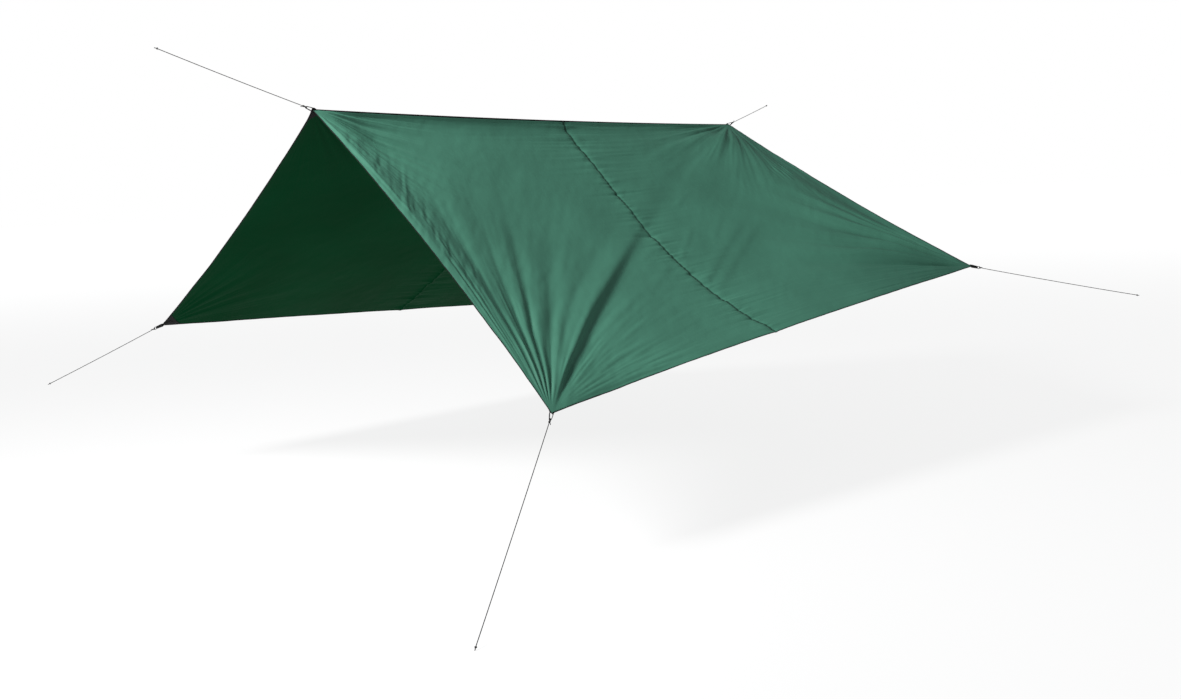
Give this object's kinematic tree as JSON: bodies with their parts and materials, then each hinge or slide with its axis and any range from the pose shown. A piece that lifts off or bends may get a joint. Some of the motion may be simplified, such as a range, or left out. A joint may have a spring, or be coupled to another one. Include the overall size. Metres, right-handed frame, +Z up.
{
  "type": "tarp shelter",
  "caption": "Rectangular coated cloth tarp pitched as an A-frame shelter, with bound edges, a centre seam, corner and ridge webbing loops and guy lines.",
  "frame": {"origin": "front end of the ridge, at the fold of the cloth, where the front ridge line holds the shelter up", "axes": "+Z up; +Y along the ridge from its front end to its rear end; +X towards the eave of the near side"},
  "size_m": [3.999, 4.1689, 1.9438],
  "materials": {
    "coated_cloth": "satin",
    "tape": "matte",
    "cord": "matte"
  },
  "bodies": {
    "ridge": {"ridge_tape": "tape", "front_ridge_loop": "tape", "rear_ridge_loop": "tape"},
    "near_side": {"front_near_panel": "coated_cloth", "rear_near_panel": "coated_cloth", "near_centre_seam": "coated_cloth", "near_eave_binding": "tape", "front_near_gable_binding": "tape", "rear_near_gable_binding": "tape", "near_front_corner_patch": "tape", "near_rear_corner_patch": "tape", "front_ridge_near_patch": "tape", "rear_ridge_near_patch": "tape", "near_front_loop": "tape", "near_rear_loop": "tape"},
    "far_side": {"front_far_panel": "coated_cloth", "rear_far_panel": "coated_cloth", "far_centre_seam": "coated_cloth", "far_eave_binding": "tape", "front_far_gable_binding": "tape", "rear_far_gable_binding": "tape", "far_front_corner_patch": "tape", "far_rear_corner_patch": "tape", "front_ridge_far_patch": "tape", "rear_ridge_far_patch": "tape", "far_front_loop": "tape", "far_rear_loop": "tape"},
    "front_ridge_hitch": {"front_ridge_hitch": "cord"},
    "front_ridge_line": {"front_ridge_line": "cord", "front_ridge_end_knot": "cord"},
    "rear_ridge_hitch": {"rear_ridge_hitch": "cord"},
    "rear_ridge_line": {"rear_ridge_line": "cord", "rear_ridge_end_knot": "cord"},
    "near_front_hitch": {"near_front_hitch": "cord"},
    "near_front_line": {"near_front_line": "cord", "near_front_end_knot": "cord"},
    "near_rear_hitch": {"near_rear_hitch": "cord"},
    "near_rear_line": {"near_rear_line": "cord", "near_rear_end_knot": "cord"},
    "far_front_hitch": {"far_front_hitch": "cord"},
    "far_front_line": {"far_front_line": "cord", "far_front_end_knot": "cord"}
  },
  "joints": [
    {"name": "near_side_pitch", "type": "hinge", "parent": "ridge", "child": "near_side", "pos_m": [0, 0, 0], "axis": [0, 0.9999, -0.0103], "range_deg": [-36, 30]},
    {"name": "far_side_pitch", "type": "hinge", "parent": "ridge", "child": "far_side", "pos_m": [0, 0, 0], "axis": [0, -0.9999, 0.0103], "range_deg": [-36, 30]},
    {"name": "front_ridge_hitch_swing", "type": "hinge", "parent": "ridge", "child": "front_ridge_hitch", "pos_m": [0, -0.02479, 0.00784], "axis": [1, 0, 0], "range_deg": [-60, 60]},
    {"name": "front_ridge_line_swing", "type": "hinge", "parent": "front_ridge_hitch", "child": "front_ridge_line", "pos_m": [0, -0.04052, 0.01282], "axis": [0, -0.3017, -0.9534], "range_deg": [-75, 75]},
    {"name": "rear_ridge_hitch_swing", "type": "hinge", "parent": "ridge", "child": "rear_ridge_hitch", "pos_m": [0, 2.9248, -0.02219], "axis": [1, 0, 0], "range_deg": [-60, 60]},
    {"name": "rear_ridge_line_swing", "type": "hinge", "parent": "rear_ridge_hitch", "child": "rear_ridge_line", "pos_m": [0.00069, 2.94052, -0.01723], "axis": [0, -0.3005, 0.9538], "range_deg": [-75, 75]},
    {"name": "near_front_hitch_swing", "type": "hinge", "parent": "near_side", "child": "near_front_hitch", "pos_m": [1.27686, 0.0473, -1.1999], "axis": [0.6801, -0.1485, 0.7179], "range_deg": [-60, 60]},
    {"name": "near_front_line_swing", "type": "hinge", "parent": "near_front_hitch", "child": "near_front_line", "pos_m": [1.28366, 0.03483, -1.2083], "axis": [0.6186, 0.6418, -0.4533], "range_deg": [-75, 75]},
    {"name": "near_rear_hitch_swing", "type": "hinge", "parent": "near_side", "child": "near_rear_hitch", "pos_m": [1.54278, 2.89282, -0.8565], "axis": [0.4666, -0.1471, 0.8722], "range_deg": [-60, 60]},
    {"name": "near_rear_line_swing", "type": "hinge", "parent": "near_rear_hitch", "child": "near_rear_line", "pos_m": [1.55486, 2.9035, -0.86001], "axis": [-0.5343, 0.7389, 0.4105], "range_deg": [-75, 75]},
    {"name": "far_front_hitch_swing", "type": "hinge", "parent": "far_side", "child": "far_front_hitch", "pos_m": [-1.45578, -0.01839, -0.97442], "axis": [-0.5559, 0.0522, 0.8296], "range_deg": [-60, 60]},
    {"name": "far_front_line_swing", "type": "hinge", "parent": "far_front_hitch", "child": "far_front_line", "pos_m": [-1.46612, -0.0292, -0.98138], "axis": [0.5218, -0.755, 0.3972], "range_deg": [-75, 75]}
  ]
}
